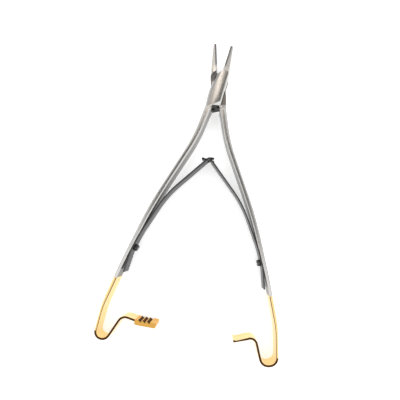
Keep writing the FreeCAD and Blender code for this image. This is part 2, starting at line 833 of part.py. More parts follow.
def spring_runs(tip_long):
    """Corners of a leaf spring's line: up the arm, inward, bend radius."""
    rise = named("spring_seat_gap") + named("spring_thick") / 2
    first = named("foot_long")
    lean = named("foot_angle")
    bend_up = first + named("leaf_long") * cosine(lean)
    bend_in = rise + named("leaf_long") * sine(lean)
    lean = lean + named("leaf_angle")
    curl_up = bend_up + named("neck_long") * cosine(lean)
    curl_in = bend_in + named("neck_long") * sine(lean)
    neck = lean
    lean = lean + named("tip_angle")
    end_up = curl_up + tip_long * cosine(lean)
    end_in = curl_in + tip_long * sine(lean)
    runs = [
        (-named("tail_end"), rise + named("tail_end_rise"), 0),
        (-named("tail_near"), rise, named("tail_bend")),
        (first, rise, named("foot_bend")),
        (bend_up, bend_in, named("leaf_bend")),
        (curl_up, curl_in, named("tip_bend")),
        (end_up, end_in, 0),
    ]
    return runs, neck


def spring_place(side):
    """Where the foot of a leaf spring sits in the open instrument, and its angle."""
    out, lean = seat_spot()
    across, along = turned(out * side, -named("seat_down"), named("spread_angle") * side)
    return across, along, (lean + named("spread_angle")) * side + 90


def make_spring(doc, label, side, forked):
    """Leaf spring of one arm, drawn flat along its seat with its edges towards the viewer."""
    piece = Piece(doc, label)
    runs, neck = spring_runs(named("fork_tip_long" if forked else "tongue_tip_long"))
    path = piece.sketch("LeafPath", "XY_Plane")
    draw(path, [(up, inward * side, radius) for up, inward, radius in runs], closed=False)
    start_up, start_in, none = runs[0]
    second_up, second_in, none = runs[1]
    lean = atan2(second_in.number - start_in.number, second_up.number - start_up.number)
    half = named("spring_wide") / 2
    thick = named("spring_thick") / 2
    profile = piece.sketch("LeafSection", "YZ_Plane", offset=start_up, across=start_in * side)
    share = 1 / cos(lean)
    draw(profile, [
        (-thick * share, -half, 0),
        (thick * share, -half, 0),
        (thick * share, half, 0),
        (-thick * share, half, 0),
    ])
    piece.sweep("Leaf", profile, path)
    curl_up, curl_in, none = runs[-2]
    end_up, end_in, none = runs[-1]
    if not forked:
        knob = piece.sketch("KnobPlan", "XY_Plane", offset=-named("tongue_wide") / 2,
                            across=end_up, along=end_in * side)
        circle = Part.Circle(Vector(0, 0, 0), Vector(0, 0, 1), NUMBERS["knob_r"])
        knob.addGeometry(circle, False)
        knob.addConstraint([
            Sketcher.Constraint("Coincident", 0, 3, -1, 1),
            Sketcher.Constraint("Radius", 0, NUMBERS["knob_r"]),
        ])
        knob.setExpression("Constraints[1]", "Sizes.knob_r")
        piece.pad("Knob", knob, named("tongue_wide"))
    turn = neck * side
    over = named("tongue_tip_long") + named("spare")
    if forked:
        layers = [(-named("fork_gap") / 2, named("fork_gap"))]
    else:
        rest = (named("spring_wide") - named("tongue_wide")) / 2
        layers = [(-half, rest), (named("tongue_wide") / 2, rest)]
    for number, (low, height) in enumerate(layers):
        sketch = piece.sketch("TipPlan%d" % number, "XY_Plane", offset=low, across=curl_up,
                              along=curl_in * side, turn=turn)
        draw(sketch, [
            (-named("prong_long"), -over, 0),
            (over, -over, 0),
            (over, over, 0),
            (-named("prong_long"), over, 0),
        ])
        piece.cut("Tip%d" % number, sketch, height)
    hole = piece.sketch("ScrewHolePlan", "XY_Plane")
    piece.drill("ScrewHole", hole, named("screw_r") + named("hole_clear"), -named("head_r"),
                named("head_r"))
    across, along, angle = spring_place(side)
    piece.place(across, along, named("thick") / 2, angle)


def make_screw(doc, label, side):
    """Slotted cheese-head screw that holds a leaf spring to its arm."""
    piece = Piece(doc, label)
    seat = named("spring_seat_gap") * 2 + named("spring_thick")
    head_r = named("head_r")
    shank_r = named("screw_r")
    sketch = piece.sketch("ScrewProfile", "XY_Plane")
    top = seat + named("head_high")
    draw(sketch, [
        (0, -named("shank_long") * side, 0),
        (shank_r, -named("shank_long") * side, 0),
        (shank_r, seat * side, 0),
        (head_r, seat * side, 0),
        (head_r, (seat + named("head_edge")) * side, 0),
        (head_r * 0.75, top * side, 0),
        (0, top * side, 0),
    ])
    piece.revolve("Turned", sketch, "V_Axis")
    slot = piece.sketch("SlotPlan", "XY_Plane", offset=-named("head_r") * 2)
    half = named("slot_wide") / 2
    draw(slot, [
        (-half, (top - named("slot_deep")) * side, 0),
        (half, (top - named("slot_deep")) * side, 0),
        (half, (top + named("spare")) * side, 0),
        (-half, (top + named("spare")) * side, 0),
    ])
    piece.cut("DriverSlot", slot, named("head_r") * 4)
    across, along, angle = spring_place(side)
    piece.place(across, along, named("thick") / 2, angle)


NODES = (
    "box_half",
    "through_half",
    "pivot_pin",
    "right_insert",
    "left_insert",
    "fork_spring",
    "tongue_spring",
    "left_spring_screw",
    "right_spring_screw",
)


def main():
    doc = FreeCAD.newDocument("NeedleHolder")
    make_sheet(doc)
    make_half(doc, "box_half", -1, "left")
    make_half(doc, "through_half", 1, "right")
    make_pin(doc)
    make_insert(doc, "right_insert", -1)
    make_insert(doc, "left_insert", 1)
    make_spring(doc, "fork_spring", -1, forked=True)
    make_spring(doc, "tongue_spring", 1, forked=False)
    make_screw(doc, "left_spring_screw", -1)
    make_screw(doc, "right_spring_screw", 1)
    doc.recompute()
    for item in doc.Objects:
        if "Invalid" in item.State or "Error" in item.State:
            raise RuntimeError("%s failed: %s" % (item.Name, item.State))
    os.makedirs("parts", exist_ok=True)
    for node in NODES:
        shape = doc.getObjectsByLabel(node)[0].Shape
        if shape.isNull() or not shape.isValid():
            raise RuntimeError(node + " has no valid shape")
        shape.exportStep("parts/%s.step" % node)
        print(node, len(shape.Solids), "solid", round(shape.Volume, 2), "mm3")


main()
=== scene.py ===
"""Looks of a surgical needle holder: steel, gold plating, carbide, leaf springs and the stage."""

from math import atan2, cos, pi, radians, sin, tan

import bmesh
import bpy
from bpy.props import FloatProperty, FloatVectorProperty, IntProperty, PointerProperty
from mathutils import Matrix, Vector


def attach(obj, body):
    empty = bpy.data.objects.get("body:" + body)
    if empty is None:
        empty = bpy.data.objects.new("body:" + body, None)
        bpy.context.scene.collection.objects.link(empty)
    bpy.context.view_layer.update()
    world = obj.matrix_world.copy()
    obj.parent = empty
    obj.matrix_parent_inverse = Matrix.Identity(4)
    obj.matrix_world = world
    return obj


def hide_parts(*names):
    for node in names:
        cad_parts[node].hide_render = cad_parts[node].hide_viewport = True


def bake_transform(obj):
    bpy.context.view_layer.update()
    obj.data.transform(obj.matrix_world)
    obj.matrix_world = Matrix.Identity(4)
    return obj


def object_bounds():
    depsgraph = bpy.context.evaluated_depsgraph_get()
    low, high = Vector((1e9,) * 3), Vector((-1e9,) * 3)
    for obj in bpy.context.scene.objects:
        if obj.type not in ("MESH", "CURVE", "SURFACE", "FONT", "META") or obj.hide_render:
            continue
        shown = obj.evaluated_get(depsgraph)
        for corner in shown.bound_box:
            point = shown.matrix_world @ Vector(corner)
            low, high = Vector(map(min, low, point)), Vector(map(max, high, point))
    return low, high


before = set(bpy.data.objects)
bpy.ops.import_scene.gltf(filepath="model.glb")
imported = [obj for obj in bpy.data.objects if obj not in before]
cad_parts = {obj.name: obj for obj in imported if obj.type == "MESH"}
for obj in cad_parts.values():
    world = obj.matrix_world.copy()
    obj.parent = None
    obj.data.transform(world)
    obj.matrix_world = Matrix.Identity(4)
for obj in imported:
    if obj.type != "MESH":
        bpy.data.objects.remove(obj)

bl_info = {
    "name": "Needle Holder Looks",
    "version": (1, 0, 0),
    "blender": (4, 5, 0),
    "location": "3D View > Sidebar > Needle Holder",
    "description": "Dresses the surgical needle holder and sets its stage",
    "category": "Object",
}

MM = 0.001
CAD_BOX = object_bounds()
BOX_SIDE = "box_side"
THROUGH_SIDE = "through_side"


def millimetres(name, description, default):
    """A length property, shown and kept in millimetres."""
    return FloatProperty(name=name, description=description, default=default, precision=2)


def degrees(name, description, default):
    """An angle property, given in degrees and kept in radians."""
    return FloatProperty(
        name=name, description=description, default=radians(default), subtype="ANGLE")


def level(name, description, default):
    """A plain number, such as a strength or a share."""
    return FloatProperty(name=name, description=description, default=default)


def tone(name, description, default):
    """A colour property."""
    return FloatVectorProperty(
        name=name, description=description, default=default, subtype="COLOR", min=0, max=1)


def steps(name, description, default):
    """A whole number."""
    return IntProperty(name=name, description=description, default=default)


class SpringSizes(bpy.types.PropertyGroup):
    """Leaf springs, in millimetres and degrees, each along its own arm from its screw."""

    screw_across: millimetres("Screw across", "Spring's seat from the centre line, open", 40.26)
    screw_down: millimetres("Screw down", "Spring's seat below the pivot, open", 101.51)
    lean: degrees("Lean", "Angle of the seat to the centre line, open", 20.56)
    wide: millimetres("Width", "Width of the leaf", 7.6)
    thick: millimetres("Thickness", "Thickness of the leaf", 0.75)
    film: millimetres("Film", "Film between the foot and its seat", 0.02)
    foot: millimetres("Foot", "From the screw to the first bend", 9.3)
    foot_turn: degrees("Foot turn", "First bend", 5.9)
    foot_bend: millimetres("Foot bend", "Radius of the first bend", 80.0)
    leaf: millimetres("Leaf", "From the first bend to the second", 28.8)
    leaf_turn: degrees("Leaf turn", "Second bend", 16.0)
    leaf_bend: millimetres("Leaf bend", "Radius of the second bend", 70.0)
    neck: millimetres("Neck", "From the second bend to the curl", 34.7)
    tip_turn: degrees("Curl", "Turn of the curl at the tip", 48.5)
    tip_bend: millimetres("Curl bend", "Radius of the curl", 1.9)
    fork_tip: millimetres("Prong tips", "End of the prongs beyond the curl", 3.4)
    tongue_tip: millimetres("Tongue tip", "End of the tongue beyond the curl", 4.4)
    tail_near: millimetres("Tail start", "From the screw to where the tail leaves the arm", 3.5)
    tail_end: millimetres("Tail end", "From the screw to the tail's end", 16.3)
    tail_end_rise: millimetres("End height", "How far the tail's end stands off the seat", 2.1)
    tail_bend: millimetres("Tail bend", "Radius of the tail's bend", 15.0)
    fork_gap: millimetres("Fork gap", "Gap between the two prongs", 3.2)
    tongue: millimetres("Tongue", "Width of the tongue", 2.4)
    prong: millimetres("Prongs", "Length of prongs and tongue along the neck", 1.2)
    knob: millimetres("Knob", "Radius of the rolled end of the tongue", 0.75)
    edge: millimetres("Edge", "Rounding of the leaf's edges", 0.1)
    sharp: degrees("Sharp", "Edges of the leaf that turn by more than this look sharp", 35.0)
    segments: IntProperty(
        name="Segments", description="Divisions along a leaf, so that it bends smoothly",
        default=110, min=20, max=400)


class InsertSizes(bpy.types.PropertyGroup):
    """Gripping face of the carbide inserts, in millimetres."""

    pitch: millimetres("Pitch", "Distance between the cross-cut grooves", 0.55)
    depth: millimetres("Depth", "Depth of the grooves", 0.12)


class EdgeSizes(bpy.types.PropertyGroup):
    """How the forgings' edges and the pin's ends are finished, in millimetres and degrees."""

    radius: millimetres("Radius", "Rounding of the edges where there is room", 0.3)
    merge: millimetres("Merge", "Corners closer than this become one", 0.08)
    shortest: millimetres("Shortest", "Shorter edges than this are left", 0.3)
    lock: millimetres("Lock", "Where the lock's edges end, down from the pivot", 13.0)
    strap: millimetres("Strap", "Where the straps begin, down from the pivot", 120.0)
    flat: degrees("Flat", "Faces that turn by less than this become one", 1.0)
    crisp: degrees("Crisp", "Edges that turn by less than this look round", 10.0)
    sharp: degrees("Sharp", "Edges that turn by more than this are rounded", 25.0)
    segments: steps("Segments", "Steps of the rounding", 3)
    crown: millimetres("Crown", "Radius of the crown of the lock's cheeks", 32.0)
    pin_slices: steps("Pin slices", "Slices of each half of the pin's crowned end", 8)


class PlatingSizes(bpy.types.PropertyGroup):
    """Where a closed half is plated or given painted shade, in millimetres from the pivot."""

    lock: millimetres("Lock", "Where the lock ends, down", 12.0)
    recess: millimetres("Recess", "Faces this far below the front are in the box", 1.0)
    start: millimetres("Start", "Where the plating begins, down", 127.0)
    left_bend: millimetres("Left bend", "Where the left hook begins to bend, down", 161.5)
    right_bend: millimetres("Right bend", "Where the right hook begins to bend, down", 164.7)
    return_leg: millimetres("Return leg", "Outermost reach of the return leg, across", 28.0)
    bar: millimetres("Bar", "Outer end of the toothed bar, across", 11.2)
    bar_end: millimetres("Bar end", "Its inner end, across", -1.7)
    bar_heel: millimetres("Bar heel", "Length of the bar before its first tooth", 1.0)
    spread: degrees("Spread", "Angle that each half stands open", 8.4)


class PaintedShade(bpy.types.PropertyGroup):
    """Painted shade and painted dark reflection on each kind of face: 0 as the metal itself, 1 as
    its darkest.
    """

    # Each level paints shade or a dark reflection into the colour of the same metal.
    outer_bevel: level("Outer bevel", "Outer bevels of the lock and the arms", 0.5)
    wall: level("Wall", "Walls of the lock that face the handles", 1.0)
    recess: level("Recess", "Faces of the web inside the box", 0.75)
    inside: level("Inside", "Inner walls of the steel arms", 0.75)
    gullet: level("Gullet", "Flanks between the teeth of the bar", 0.85)
    bar: level("Bar", "Rest of the toothed bar", 0.3)
    hook: level("Hook", "Front edges of the hooks", 1.0)
    strap: level("Strap", "Inner chamfers of the straps", 0.75)


class MetalColours(bpy.types.PropertyGroup):
    """Colours of the metals."""

    steel: tone("Steel", "Satin forged steel", (0.78, 0.765, 0.74))
    gold: tone("Gold", "Gold plating of the handle ends", (0.96, 0.72, 0.33))
    carbide: tone("Carbide", "Tungsten carbide of the inserts", (0.27, 0.26, 0.26))
    leaf: tone("Spring steel", "Leaf springs", (0.085, 0.085, 0.085))
    screw: tone("Screw", "Screws of the springs", (0.11, 0.11, 0.11))
    # Painted shade: the steel's colour on faces marked dark, darker than the same steel elsewhere.
    steel_shade: level("Dark steel", "Darkest steel, against the satin steel", 0.08)
    # Painted shade: deeper gold on the toothed bar and under the darkest gold of the other shaded
    # faces.
    gold_shade: tone("Amber", "Deeper gold of the toothed bar", (0.8, 0.44, 0.1))
    # Painted shade and painted dark reflection: the darkest gold, on the hooks' front edges, the
    # straps' inner chamfers and the gullets.
    gold_deep_shade: tone(
        "Deep shade", "Edges of the hooks and bottoms of the gullets", (0.09, 0.035, 0.004))


class RoomSettings(bpy.types.PropertyGroup):
    """Light tent that the metal mirrors: its levels, and where each level begins and ends."""

    overhead: level("Overhead", "Level overhead", 1.05)
    overhead_from: level("Overhead from", "Height where that level begins", 0.55)
    overhead_to: level("Overhead to", "Height where that level is full", 0.85)
    overhead_side: level("Overhead side", "How far that level comes down at the sides", 0.5)
    horizon: level("Horizon", "Level at the horizon", 0.06)
    sides: level("Sides", "Added level at the left and right horizon", 0.8)
    sides_from: level("Sides from", "Where the sides begin", 0.35)
    sides_to: level("Sides to", "Where the sides are full", 0.75)
    ahead: level("Ahead", "Added level beyond the jaws", 0.5)
    ahead_from: level("Ahead from", "Where that level begins", 0.6)
    ahead_to: level("Ahead to", "Where that level is full", 0.8)
    patch: level("Dark patch", "Level of the room where the camera hides the light", 0.1)
    patch_lean: degrees("Patch lean", "How far the patch leans from overhead to the jaws", 24.0)
    patch_size: degrees("Patch size", "Angle from the middle of the patch to its rim", 27.0)
    patch_rim: level("Patch rim", "Softness of the rim, as a share of the size", 0.2)
    foot: level("Patch foot", "Level of the lower part of the patch, left", 0.3)
    foot_right: level("Foot right", "Level of the lower part of the patch, right", 0.12)
    foot_tint: tone("Foot tint", "Warm tint of the lower part of the patch", (1.0, 0.9, 0.8))
    foot_from: degrees("Foot from", "Angle from overhead where the lower part begins", 24.0)
    foot_to: degrees("Foot to", "Angle from overhead where the lower part is full", 35.0)
    right_from: level("Right from", "Where the right side of the lower part begins", 0.04)
    right_to: level("Right to", "Where the right side of the lower part is full", 0.11)
    strip: level("Strip", "Added level of the narrow light strip behind the camera", 3.0)
    strip_from: level("Strip from", "Distance from its middle where it begins to fade", 0.02)
    strip_to: level("Strip to", "Distance from its middle where it ends", 0.08)


class StageSettings(bpy.types.PropertyGroup):
    """Table, lamp and camera, in millimetres and pixels of the photograph."""

    table: tone("Table", "Colour of the table top", (0.9, 0.9, 0.9))
    table_size: millimetres("Table size", "Width of the table top", 3000.0)
    table_gap: millimetres("Table gap", "Table top below the instrument", 0.02)
    lift: level("Lift", "Glow that keeps the table top white to the camera", 0.55)
    lamp_ahead: millimetres("Lamp ahead", "Lamp beyond the pivot, towards the jaws", 450.0)
    lamp_height: millimetres("Lamp height", "Lamp above the table", 380.0)
    lamp_aim: millimetres("Lamp aim", "Point that the lamp faces, below the pivot", 50.0)
    lamp_size: millimetres("Lamp size", "Width of the lamp", 250.0)
    lamp_power: level("Lamp power", "Power of the lamp in watts", 0.8)
    image: steps("Image", "Width of the photograph", 400)
    scale: level("Scale", "Pixels per millimetre at the front face", 1.64)
    pivot_x: level("Pivot x", "Pivot in the photograph", 217.7)
    pivot_y: level("Pivot y", "Pivot in the photograph", 89.5)
    nadir_x: level("Nadir x", "Point straight under the lens, in the photograph", 215.0)
    nadir_y: level("Nadir y", "Point straight under the lens, in the photograph", 245.0)
    tilt: degrees("Tilt", "How far the instrument leans to the right in the photograph", 7.1)
    height: millimetres("Height", "Lens above the front face", 143.0)


class Wire:
    """A socket of a node tree that can be reckoned with like a number."""

    def __init__(self, tree, socket):
        self.tree = tree
        self.socket = socket

    def node(self, kind, settings=None, inputs=None, output=0):
        """Any other node in the same tree, given back as the wire of one of its outputs."""
        node = self.tree.nodes.new(kind)
        for name, value in (settings or {}).items():
            setattr(node, name, value)
        for name, value in (inputs or {}).items():
            feed(self.tree, value, node.inputs[name])
        return Wire(self.tree, node.outputs[output])

    def reckon(self, operation, first, second=0.0):
        settings = {"operation": operation}
        return self.node("ShaderNodeMath", settings, {0: first, 1: second})

    def __add__(self, other):
        return self.reckon("ADD", self, other)

    def __sub__(self, other):
        return self.reckon("SUBTRACT", self, other)

    def __mul__(self, other):
        return self.reckon("MULTIPLY", self, other)

    def __rsub__(self, other):
        return self.reckon("SUBTRACT", other, self)

    def __neg__(self):
        return self.reckon("MULTIPLY", self, -1.0)

    __radd__ = __add__
    __rmul__ = __mul__

    def clamped(self, low, high):
        """This wire mapped smoothly to 0 at low and 1 at high."""
        settings = {"interpolation_type": "SMOOTHSTEP"}
        inputs = {"Value": self, "From Min": low, "From Max": high}
        return self.node("ShaderNodeMapRange", settings, inputs)


def feed(tree, value, socket):
    """Link a wire to a socket, or set the socket to a plain value."""
    if isinstance(value, Wire):
        tree.links.new(value.socket, socket)
    else:
        socket.default_value = value


def mixed(tree, share, first, second):
    """A wire that blends two colours."""
    node = tree.nodes.new("ShaderNodeMix")
    node.data_type = "RGBA"
    feed(tree, share, node.inputs["Factor"])
    feed(tree, first, node.inputs[6])
    feed(tree, second, node.inputs[7])
    return Wire(tree, node.outputs[2])


def colour(rgb):
    """A colour property as the four numbers that a socket takes."""
    return tuple(rgb) + (1.0,)


class Finish:
    """One material: its shader, and the object coordinates that its patterns use."""

    def __init__(self, name, base, roughness, metallic=1.0):
        self.material = bpy.data.materials.new(name)
        self.material.use_nodes = True
        self.tree = self.material.node_tree
        self.shader = self.tree.nodes["Principled BSDF"]
        self.set("Base Color", base)
        self.set("Metallic", metallic)
        self.set("Roughness", roughness)
        node = self.tree.nodes.new("ShaderNodeTexCoord")
        self.place = Wire(self.tree, node.outputs["Object"])

    def set(self, name, value):
        feed(self.tree, value, self.shader.inputs[name])

    def turned(self, angle, scale):
        """Object coordinates turned about the vertical, then scaled along each axis."""
        turn = self.place.node(
            "ShaderNodeVectorRotate", {"rotation_type": "Z_AXIS"},
            {"Vector": self.place, "Angle": -angle})
        return turn.node(
            "ShaderNodeVectorMath", {"operation": "MULTIPLY"}, {0: turn, 1: scale})

    def noise(self, place, scale, detail=2.0, roughness=0.5):
        inputs = {"Vector": place, "Scale": scale, "Detail": detail, "Roughness": roughness}
        return self.place.node("ShaderNodeTexNoise", None, inputs)

    def mix(self, share, first, second):
        return mixed(self.tree, share, first, second)

    def bump(self, height, distance, strength=1.0):
        inputs = {"Height": height, "Distance": distance, "Strength": strength}
        self.set("Normal", self.place.node("ShaderNodeBump", None, inputs))


def shaded(rgb, factor):
    """The same colour, darker or lighter."""
    return tuple(min(1.0, channel * factor) for channel in rgb) + (1.0,)


def half_finish(name, angle):
    """Satin steel ground lengthwise, with gold plating towards the handle ends, and painted shade
    on the faces marked dark.
    """
    colours = bpy.context.scene.needle_metals
    steel = colours.steel
    gold = colours.gold
    finish = Finish(name, colour(steel), 0.3)
    grain_place = finish.turned(angle, (1.0, 0.03, 1.0))
    grain = finish.noise(grain_place, 9000.0, 3.0)
    haze = finish.noise(finish.place, 90.0, 3.0)
    lengthwise = finish.turned(angle, (1.0, 1.0, 1.0))
    along = lengthwise.node("ShaderNodeSeparateXYZ", None, {"Vector": lengthwise}, output="Y")
    ragged = finish.noise(finish.place, 700.0, 2.0)
    start = bpy.context.scene.needle_plating.start * MM
    edge = -along - start + (ragged - 0.5) * 0.3 * MM
    plated = edge.clamped(-0.1 * MM, 0.1 * MM)
    steel_tone = finish.mix(grain, shaded(steel, 0.86), shaded(steel, 1.08))
    gold_tone = finish.mix(haze, shaded(gold, 0.94), shaded(gold, 1.04))
    # Painted shade and painted dark reflection: the faces' dark layer turns the gold deeper and
    # then nearly black, and the steel dark.
    dark = finish.place.node("ShaderNodeAttribute", {"attribute_name": "dark"}, output="Fac")
    gold_tone = finish.mix(dark.clamped(0.0, 0.3), gold_tone, colour(colours.gold_shade))
    gold_tone = finish.mix(dark.clamped(0.3, 0.9), gold_tone, colour(colours.gold_deep_shade))
    steel_tone = finish.mix(dark, steel_tone, shaded(steel, colours.steel_shade))
    finish.set("Base Color", finish.mix(plated, steel_tone, gold_tone))
    steel_rough = 0.18 + grain * 0.1 + haze * 0.05
    gold_rough = 0.13 + grain * 0.06 + haze * 0.05 + dark * 0.5
    finish.set("Roughness", steel_rough + (gold_rough - steel_rough) * plated)
    # Where the painted shade lies on the gold, the gold is made less metallic too, so that it
    # stays dark.
    finish.set("Metallic", 1.0 - plated * dark * 0.8)
    finish.set("Specular IOR Level", 0.1)
    finish.bump(grain, 0.004 * MM, 0.5)
    return finish.material


def carbide_finish():
    """Ground tungsten carbide: dark, fine-grained and a little duller than the steel."""
    base = bpy.context.scene.needle_metals.carbide
    finish = Finish("carbide", colour(base), 0.42)
    grit = finish.noise(finish.place, 6000.0, 3.0)
    finish.set("Base Color", finish.mix(grit, shaded(base, 0.75), shaded(base, 1.2)))
    finish.set("Roughness", 0.36 + grit * 0.16)
    finish.bump(grit, 0.006 * MM, 0.5)
    return finish.material


def leaf_finish(name, angle):
    """Rolled and polished spring steel, with faint lines along the leaf."""
    base = bpy.context.scene.needle_metals.leaf
    finish = Finish(name, colour(base), 0.28)
    lines = finish.noise(finish.turned(angle, (1.0, 0.04, 1.0)), 7000.0, 2.0)
    haze = finish.noise(finish.place, 120.0, 2.0)
    finish.set("Base Color", finish.mix(lines, shaded(base, 0.85), shaded(base, 1.15)))
    finish.set("Roughness", 0.22 + lines * 0.08 + haze * 0.08)
    finish.bump(lines, 0.003 * MM, 0.5)
    return finish.material


def screw_finish():
    """Turned steel of the small screws."""
    base = bpy.context.scene.needle_metals.screw
    finish = Finish("turned_screw_steel", colour(base), 0.3)
    grit = finish.noise(finish.place, 5000.0, 2.0)
    finish.set("Base Color", finish.mix(grit, shaded(base, 0.8), shaded(base, 1.15)))
    finish.set("Roughness", 0.24 + grit * 0.14)
    finish.bump(grit, 0.003 * MM, 0.5)
    return finish.material


def dress(node, material):
    """Give a CAD node its material."""
    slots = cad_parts[node].data.materials
    slots.clear()
    slots.append(material)


def finished_piece(name, mesh_data, material):
    """Turn a finished bmesh into a piece with its material."""
    bmesh.ops.recalc_face_normals(mesh_data, faces=mesh_data.faces[:])
    mesh = bpy.data.meshes.new(name)
    mesh_data.to_mesh(mesh)
    mesh_data.free()
    mesh.materials.append(material)
    piece = bpy.data.objects.new(name, mesh)
    bpy.context.scene.collection.objects.link(piece)
    return piece


class LeafLine:
    """The line of a leaf spring: straight runs and arcs from its tail to its tip."""

    def __init__(self, corners):
        self.start = Vector(corners[0][:2])
        self.stretches = []
        reach = 0.0
        for index in range(1, len(corners)):
            here = Vector(corners[index][:2])
            before = here - Vector(corners[index - 1][:2])
            bend = corners[index][2]
            if index == 1:
                self.heading = atan2(before.y, before.x)
            turn = 0.0
            if bend > 0:
                after = Vector(corners[index + 1][:2]) - here
                turn = atan2(before.x * after.y - before.y * after.x, before.dot(after))
            cut = bend * tan(abs(turn) / 2)
            self.stretches.append((before.length - reach - cut, 0.0))
            if bend > 0:
                self.stretches.append((bend * abs(turn), turn / (bend * abs(turn))))
            reach = cut
        self.length = sum(length for length, curve in self.stretches)

    def at(self, distance):
        """Point and heading at this distance from the tail's end."""
        spot = self.start.copy()
        heading = self.heading
        for length, curve in self.stretches:
            step = min(distance, length)
            if curve:
                after = heading + curve * step
                spot.x += (sin(after) - sin(heading)) / curve
                spot.y += (cos(heading) - cos(after)) / curve
                heading = after
            else:
                spot.x += cos(heading) * step
                spot.y += sin(heading) * step
            distance -= step
            if distance <= 0:
                break
        return spot, heading


def leaf_line(sizes, tip):
    """Line of a leaf spring in its own frame: x up the arm, y inward, in millimetres."""
    rise = sizes.film + sizes.thick / 2
    spots = [
        (-sizes.tail_end, rise + sizes.tail_end_rise, 0.0),
        (-sizes.tail_near, rise, sizes.tail_bend),
        (sizes.foot, rise, sizes.foot_bend),
    ]
    lean = 0.0
    for turn, length, bend in (
        (sizes.foot_turn, sizes.leaf, sizes.leaf_bend),
        (sizes.leaf_turn, sizes.neck, sizes.tip_bend),
        (sizes.tip_turn, tip, 0.0),
    ):
        lean += turn
        x, y, none = spots[-1]
        spots.append((x + length * cos(lean), y + length * sin(lean), bend))
    return LeafLine(spots)


def spring_frame(sizes, side):
    """Matrix that puts a leaf's own frame, in millimetres, in its place in the open instrument."""
    lowest, highest = CAD_BOX
    middle = (lowest[2] + highest[2]) / 2
    up = pi / 2 + side * sizes.lean
    place = Matrix.Translation((side * sizes.screw_across * MM, -sizes.screw_down * MM, middle))
    return place @ Matrix.Rotation(up, 4, "Z") @ Matrix.Diagonal((MM, MM * side, MM, 1.0))


def make_leaf(name, side, forked, material):
    """One leaf spring, fine enough to bend, with its fork or its tongue."""
    sizes = bpy.context.scene.needle_springs
    tip = sizes.fork_tip if forked else sizes.tongue_tip
    line = leaf_line(sizes, tip)
    inner = (sizes.fork_gap if forked else sizes.tongue) / 2
    prong_from = line.length - tip - sizes.prong
    leaf = bmesh.new()
    bmesh.ops.create_grid(leaf, x_segments=sizes.segments, y_segments=1, size=0.5)
    bmesh.ops.scale(leaf, vec=(line.length, sizes.wide, 1.0), verts=leaf.verts)
    bmesh.ops.translate(leaf, vec=(line.length / 2, 0, 0), verts=leaf.verts)
    for across in (-inner, inner):
        geometry = leaf.verts[:] + leaf.edges[:] + leaf.faces[:]
        bmesh.ops.bisect_plane(
            leaf, geom=geometry, plane_co=(0, across, 0), plane_no=(0, 1, 0), dist=1e-5)
    geometry = leaf.verts[:] + leaf.edges[:] + leaf.faces[:]
    bmesh.ops.bisect_plane(
        leaf, geom=geometry, plane_co=(prong_from, 0, 0), plane_no=(1, 0, 0), dist=1e-5)
    spare = []
    for face in leaf.faces:
        middle = face.calc_center_median()
        is_inner = abs(middle.y) < inner
        if middle.x > prong_from and is_inner == forked:
            spare.append(face)
    bmesh.ops.delete(leaf, geom=spare, context="FACES")
    bmesh.ops.translate(leaf, vec=(0, 0, -sizes.thick / 2), verts=leaf.verts)
    bmesh.ops.solidify(leaf, geom=leaf.faces[:], thickness=sizes.thick)
    lift = sum(vert.co.z for vert in leaf.verts) / len(leaf.verts)
    bmesh.ops.translate(leaf, vec=(0, 0, -lift), verts=leaf.verts)
    sharp = [edge for edge in leaf.edges if edge.calc_face_angle(0.0) > 1.0]
    bmesh.ops.bevel(
        leaf, geom=sharp, affect="EDGES", offset=sizes.edge, segments=2, profile=0.5,
        material=-1)
    for vert in leaf.verts:
        spot, heading = line.at(vert.co.x)
        across = vert.co.z
        depth = vert.co.y
        vert.co = Vector((
            spot.x - sin(heading) * across, spot.y + cos(heading) * across, depth))
    if not forked:
        end, heading = line.at(line.length)
        roll = Matrix.Translation((end.x, end.y, 0.0))
        bmesh.ops.create_cone(
            leaf, cap_ends=True, segments=32, radius1=sizes.knob, radius2=sizes.knob,
            depth=sizes.tongue, matrix=roll)
    bmesh.ops.transform(leaf, matrix=spring_frame(sizes, side), verts=leaf.verts)
    piece = finished_piece(name, leaf, material)
    piece.data.shade_smooth()
    piece.data.set_sharp_from_angle(angle=sizes.sharp)
    return piece, line


def split_plated(half, turn, spot, way):
    """Split the plated faces of a half along a plane given in its closed frame."""
    start = bpy.context.scene.needle_plating.start * MM
    faces = [face for face in half.faces if min(vert.co.y for vert in face.verts) < -start]
    edges = {edge for face in faces for edge in face.edges}
    verts = {vert for face in faces for vert in face.verts}
    bmesh.ops.bisect_plane(
        half, geom=list(verts) + list(edges) + faces, dist=1e-7,
        plane_co=turn.inverted() @ Vector(spot), plane_no=turn.inverted() @ Vector(way))


def face_shade(spot, way, side):
    """How much painted shade a face of a half gets, from its place and direction in the closed
    frame.
    """
    sizes = bpy.context.scene.needle_plating
    shade_levels = bpy.context.scene.needle_marks
    out = side * spot.x / MM
    down = -spot.y / MM
    inward = -side * way.x
    is_upright = abs(way.z) < 0.5
    is_tilted = abs(way.z) < 0.93
    if down < sizes.start and is_tilted and inward < -0.3:
        return 0.0 if is_upright else shade_levels.outer_bevel
    if down < sizes.lock:
        is_wall = is_upright and way.y < -0.7
        is_recess = way.z > 0.9 and spot.z < CAD_BOX[1][2] - sizes.recess * MM
        return shade_levels.wall if is_wall else shade_levels.recess if is_recess else 0.0
    if down < sizes.start:
        return shade_levels.inside if is_upright and inward > 0.3 else 0.0
    if side < 0 and out < sizes.bar:
        is_flank = abs(way.z) < 0.3 and abs(way.x) > 0.4 and way.y > -0.3
        is_toothed = sizes.bar_end < out < sizes.bar - sizes.bar_heel
        return shade_levels.gullet if is_flank and is_toothed else shade_levels.bar
    bend = sizes.left_bend if side < 0 else sizes.right_bend
    is_hook = down > bend or out < sizes.return_leg
    if way.z > 0.5 and is_hook:
        return shade_levels.hook
    is_chamfer = 0.5 < way.z < 0.9 and inward > 0.5
    return shade_levels.strap if is_chamfer else 0.0


